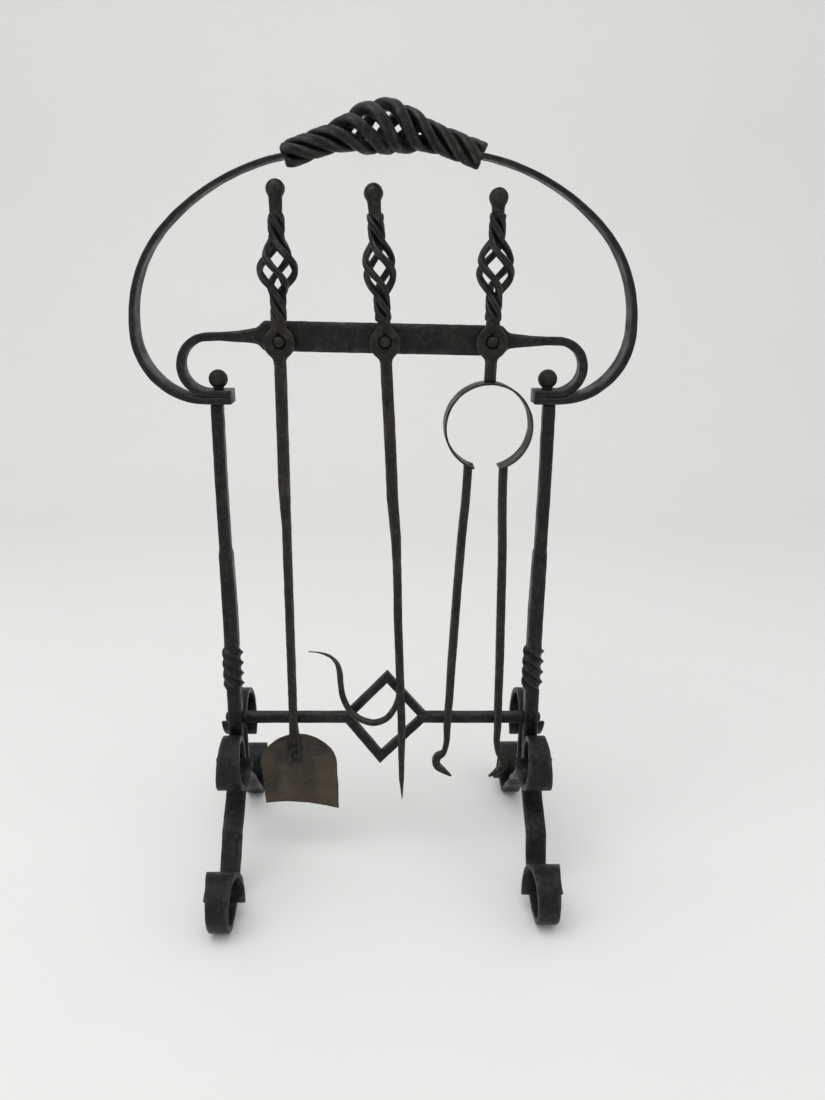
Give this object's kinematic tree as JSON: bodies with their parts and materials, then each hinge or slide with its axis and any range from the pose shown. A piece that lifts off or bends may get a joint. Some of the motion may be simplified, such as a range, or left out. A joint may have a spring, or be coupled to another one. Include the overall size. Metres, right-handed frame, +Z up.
{
  "type": "fireplace tool set",
  "caption": "Forged iron fireside companion set: a hooped stand with a basket-twist carrying handle that holds a shovel, a poker and spring tongs on pegs.",
  "frame": {"origin": "on the floor, half way between the four feet", "axes": "+Z up, -Y the front that the tools hang on, +X to the right seen from the front"},
  "size_m": [0.5042, 0.336, 0.8127],
  "materials": {
    "forged_iron": "hammered satin black",
    "worn_iron": "rubbed and browned satin",
    "rusted_sheet": "matt rust brown"
  },
  "bodies": {
    "stand": {"post_left": "forged_iron", "post_right": "forged_iron", "post_ball_left": "worn_iron", "post_ball_right": "worn_iron", "hoop_arm_left": "forged_iron", "hoop_arm_right": "forged_iron", "handle_strand_1": "forged_iron", "handle_strand_2": "forged_iron", "handle_strand_3": "forged_iron", "handle_strand_4": "forged_iron", "crossbar": "forged_iron", "rail_left": "forged_iron", "rail_right": "forged_iron", "diamond_upper": "forged_iron", "diamond_lower": "forged_iron", "leg_front_left": "forged_iron", "leg_front_right": "forged_iron", "leg_rear_left": "forged_iron", "leg_rear_right": "forged_iron", "leg_rivets_left": "worn_iron", "leg_rivets_right": "worn_iron"},
    "shovel_peg": {"peg_shovel": "worn_iron"},
    "poker_peg": {"peg_poker": "worn_iron"},
    "tongs_peg": {"peg_tongs": "worn_iron"},
    "shovel": {"shovel_knob": "worn_iron", "shovel_rod_1": "forged_iron", "shovel_rod_2": "forged_iron", "shovel_rod_3": "forged_iron", "shovel_rod_4": "forged_iron", "shovel_shank": "worn_iron", "shovel_pan": "rusted_sheet", "shovel_rivets": "worn_iron"},
    "poker": {"poker_knob": "worn_iron", "poker_rod_1": "forged_iron", "poker_rod_2": "forged_iron", "poker_rod_3": "forged_iron", "poker_rod_4": "forged_iron", "poker_shank": "worn_iron", "poker_hook": "worn_iron"},
    "tongs": {"tongs_knob": "worn_iron", "tongs_rod_1": "forged_iron", "tongs_rod_2": "forged_iron", "tongs_rod_3": "forged_iron", "tongs_rod_4": "forged_iron", "tongs_shank": "worn_iron"},
    "tongs_jaw_left": {"tongs_bow_left": "worn_iron", "tongs_arm_left": "worn_iron"},
    "tongs_jaw_right": {"tongs_bow_right": "worn_iron", "tongs_arm_right": "worn_iron"}
  },
  "joints": [
    {"name": "shovel_swing", "type": "hinge", "parent": "stand", "child": "shovel_peg", "pos_m": [-0.103, 0, 0.5907], "axis": [0, -1, 0], "range_deg": [-0.8, 1.4]},
    {"name": "shovel_pull_off", "type": "slide", "parent": "shovel_peg", "child": "shovel", "axis": [0, -1, 0], "range_m": [0, 0.04]},
    {"name": "poker_swing", "type": "hinge", "parent": "stand", "child": "poker_peg", "pos_m": [0.002, 0, 0.5907], "axis": [0, -1, 0], "range_deg": [-1.4, 2.4]},
    {"name": "poker_pull_off", "type": "slide", "parent": "poker_peg", "child": "poker", "axis": [0, -1, 0], "range_m": [0, 0.04]},
    {"name": "tongs_swing", "type": "hinge", "parent": "stand", "child": "tongs_peg", "pos_m": [0.1082, 0, 0.5907], "axis": [0, -1, 0], "range_deg": [-2, 0.2]},
    {"name": "tongs_pull_off", "type": "slide", "parent": "tongs_peg", "child": "tongs", "axis": [0, -1, 0], "range_m": [0, 0.04]},
    {"name": "tongs_squeeze_left", "type": "hinge", "parent": "tongs", "child": "tongs_jaw_left", "pos_m": [0.10748, -0.014, 0.54921], "axis": [0, -1, 0], "range_deg": [0, 2.6], "stiffness_Nm_per_rad": 80},
    {"name": "tongs_squeeze_right", "type": "hinge", "parent": "tongs", "child": "tongs_jaw_right", "pos_m": [0.10748, -0.014, 0.54921], "axis": [0, -1, 0], "range_deg": [-2.6, 0], "stiffness_Nm_per_rad": 80}
  ],
  "couplings": [
    {"joint": "tongs_squeeze_right", "follows": "tongs_squeeze_left", "ratio": -1}
  ]
}
